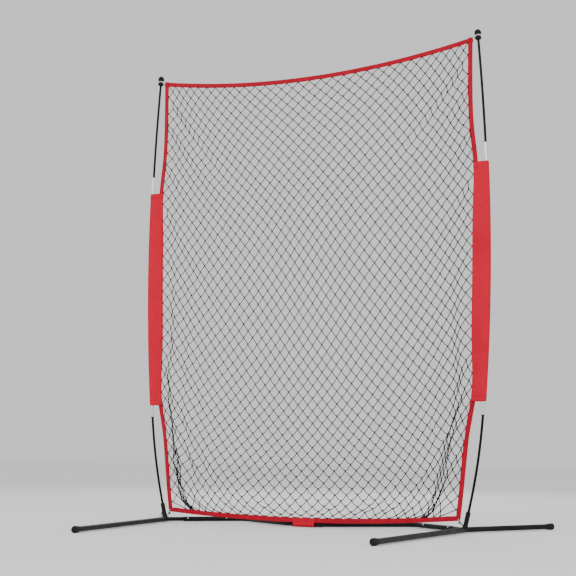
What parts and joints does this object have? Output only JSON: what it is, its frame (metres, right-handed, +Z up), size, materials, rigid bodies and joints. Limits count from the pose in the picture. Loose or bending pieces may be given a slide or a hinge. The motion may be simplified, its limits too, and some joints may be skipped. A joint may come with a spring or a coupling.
{
  "type": "pitching target net",
  "caption": "Bow-frame pitching net: red-bound diamond mesh between two bent masts with fabric pole sleeves, on splayed tube legs joined by a snap-lock crossbar.",
  "frame": {"origin": "on the floor, under the middle of the net, in the net's plane", "axes": "+Z up, +X along the net to the side whose front leg points left when seen from the front, +Y to the back; the long legs point to -Y"},
  "size_m": [2.0184, 1.2967, 2.1887],
  "materials": {
    "black_powder_coat": "satin powder coat",
    "black_rubber": "matte moulded",
    "bright_steel": "nickel plated",
    "silver_tube": "galvanised, satin",
    "black_plastic": "moulded, semi-gloss",
    "black_fibreglass": "resin-smooth",
    "black_twine": "knotted twine",
    "red_webbing": "woven binding tape",
    "red_fabric": "plain-woven polyester",
    "pale_cord": "braided"
  },
  "bodies": {
    "frame": {"leg_tube_right": "black_powder_coat", "leg_tube_left": "black_powder_coat", "front_foot_right": "black_rubber", "front_foot_left": "black_rubber", "rear_foot_right": "black_rubber", "rear_foot_left": "black_rubber", "pole_socket_right": "black_powder_coat", "pole_socket_left": "black_powder_coat", "net_hook_right": "black_powder_coat", "net_hook_left": "black_powder_coat", "arm_stub_right": "black_powder_coat", "arm_stub_left": "black_powder_coat", "inner_arm_right": "black_powder_coat", "inner_arm_left": "black_powder_coat", "crossbar_half_right": "black_powder_coat", "crossbar_half_left": "black_powder_coat", "arm_snap_spring_right": "bright_steel", "arm_snap_spring_left": "bright_steel", "knee_snap_spring_right": "bright_steel", "knee_snap_spring_left": "bright_steel", "socket_bush_right": "black_plastic", "socket_bush_left": "black_plastic", "lower_rod_right": "black_fibreglass", "lower_rod_left": "black_fibreglass", "middle_tube_right": "silver_tube", "middle_tube_left": "silver_tube", "lower_bush_right": "black_plastic", "lower_bush_left": "black_plastic", "upper_bush_right": "black_plastic", "upper_bush_left": "black_plastic", "upper_rod_right": "black_fibreglass", "upper_rod_left": "black_fibreglass", "pole_cap_right": "black_plastic", "pole_cap_left": "black_plastic", "side_band_right": "red_webbing", "side_band_left": "red_webbing", "pole_sleeve_right": "red_fabric", "pole_sleeve_left": "red_fabric", "upper_loop_right": "pale_cord", "upper_loop_left": "pale_cord", "lower_loop_right": "pale_cord", "lower_loop_left": "pale_cord", "centre_coupling": "black_powder_coat", "net_panel": "black_twine", "top_band": "red_webbing", "bottom_band": "red_webbing", "crossbar_tab": "red_fabric"},
    "arm_button_right": {"arm_snap_button_right": "bright_steel"},
    "arm_button_left": {"arm_snap_button_left": "bright_steel"},
    "knee_button_right": {"knee_snap_button_right": "bright_steel"},
    "knee_button_left": {"knee_snap_button_left": "bright_steel"}
  },
  "joints": [
    {"name": "arm_button_press_right", "type": "slide", "parent": "frame", "child": "arm_button_right", "axis": [0.5484, 0.7216, -0.4226], "range_m": [0, 0.0047], "stiffness_N_per_m": 2500, "springref_m": -0.001, "deforming": ["arm_snap_spring_right"]},
    {"name": "arm_button_press_left", "type": "slide", "parent": "frame", "child": "arm_button_left", "axis": [-0.5484, 0.7216, -0.4226], "range_m": [0, 0.0047], "stiffness_N_per_m": 2500, "springref_m": -0.001, "deforming": ["arm_snap_spring_left"]},
    {"name": "knee_button_press_right", "type": "slide", "parent": "frame", "child": "knee_button_right", "axis": [0.5484, 0.7216, -0.4226], "range_m": [0, 0.0047], "stiffness_N_per_m": 2500, "springref_m": -0.001, "deforming": ["knee_snap_spring_right"]},
    {"name": "knee_button_press_left", "type": "slide", "parent": "frame", "child": "knee_button_left", "axis": [-0.5484, 0.7216, -0.4226], "range_m": [0, 0.0047], "stiffness_N_per_m": 2500, "springref_m": -0.001, "deforming": ["knee_snap_spring_left"]}
  ]
}
